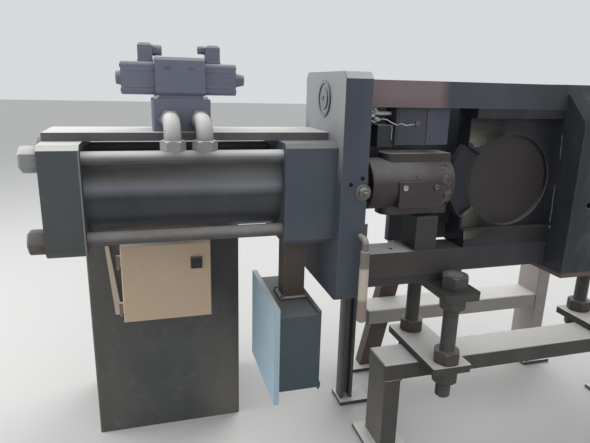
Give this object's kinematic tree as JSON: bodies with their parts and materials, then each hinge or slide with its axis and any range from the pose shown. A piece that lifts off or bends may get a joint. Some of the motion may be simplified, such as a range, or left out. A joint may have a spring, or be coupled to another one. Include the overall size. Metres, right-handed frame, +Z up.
{
  "type": "screen-change station of an extrusion line",
  "caption": "Hydraulic slide-plate screen changer of a plastics extrusion line: tie-rod cylinder, crosshead, open bay, slide plate, housing, table frame and control column.",
  "frame": {"origin": "on the floor under the middle of the table's front left post, in the plane of the cylinder axis", "axes": "+X along the cylinder towards the screen housing, +Y to the back, +Z up"},
  "size_m": [1.744, 0.6955, 1.055],
  "materials": {
    "barrel_black": "black paint, dusty on top",
    "beige_paint": "beige powder coat",
    "black_plastic": "black plastic with dust",
    "blue_paint": "blue enamel, dusty",
    "brown_rust": "brown primer and surface rust",
    "brown_screen": "scorched brown steel",
    "dark_paint": "worn dark paint with dust",
    "dusty_steel": "dull steel with dust",
    "grey_green_paint": "worn grey-green enamel",
    "slide_steel": "oily dark steel",
    "table_grey": "dusty grey paint",
    "valve_black": "black cast body"
  },
  "bodies": {
    "machine": {"barrel": "barrel_black", "bottom_beam": "brown_rust", "bottom_guide_strip": "slide_steel", "carrier_bracket": "table_grey", "clamp_plates": "table_grey", "column": "grey_green_paint", "crosshead": "grey_green_paint", "enclosure_body": "beige_paint", "end_cap": "grey_green_paint", "guide_block": "dark_paint", "head": "grey_green_paint", "housing_back": "grey_green_paint", "housing_bottom": "grey_green_paint", "housing_front": "grey_green_paint", "housing_top": "grey_green_paint", "junction_box": "blue_paint", "junction_cover": "blue_paint", "junction_post": "brown_rust", "left_cable_plug": "black_plastic", "left_hose_elbow": "valve_black", "left_solenoid": "black_plastic", "levelling_nuts": "dusty_steel", "levelling_studs": "dusty_steel", "limit_switch": "black_plastic", "manifold": "valve_black", "rear_brace": "brown_rust", "rear_brackets": "table_grey", "rear_leg": "table_grey", "rear_upright": "table_grey", "rear_wall_lower": "grey_green_paint", "rear_wall_upper": "grey_green_paint", "right_cable_plug": "black_plastic", "right_hose_elbow": "valve_black", "right_solenoid": "black_plastic", "ring_plug": "dusty_steel", "sole_plate": "brown_rust", "switch_block": "dark_paint", "switch_head": "black_plastic", "table_feet": "table_grey", "table_front_rail": "table_grey", "table_posts": "table_grey", "table_rear_rail": "table_grey", "temperature_probe": "black_plastic", "tie_rod_nuts": "dusty_steel", "tie_rods": "barrel_black", "top_beam": "brown_rust", "top_guide_strip": "slide_steel", "trunking_strip": "beige_paint", "valve_bar": "barrel_black", "valve_body": "valve_black", "valve_spacer": "valve_black"},
    "ram": {"piston_rod": "dusty_steel", "coupling_upper": "dusty_steel", "coupling_lower": "dusty_steel", "slide_plate": "slide_steel", "open_breaker_plate": "brown_screen", "working_breaker_plate": "brown_screen"},
    "door": {"enclosure_door": "beige_paint", "door_latch": "black_plastic"}
  },
  "joints": [
    {"name": "ram_slide", "type": "slide", "parent": "machine", "child": "ram", "axis": [1, 0, 0], "range_m": [0, 0.3]},
    {"name": "door_hinge", "type": "hinge", "parent": "machine", "child": "door", "pos_m": [-0.682, 0.116, 0.489], "axis": [0, 0, -1], "range_deg": [0, 110]}
  ]
}
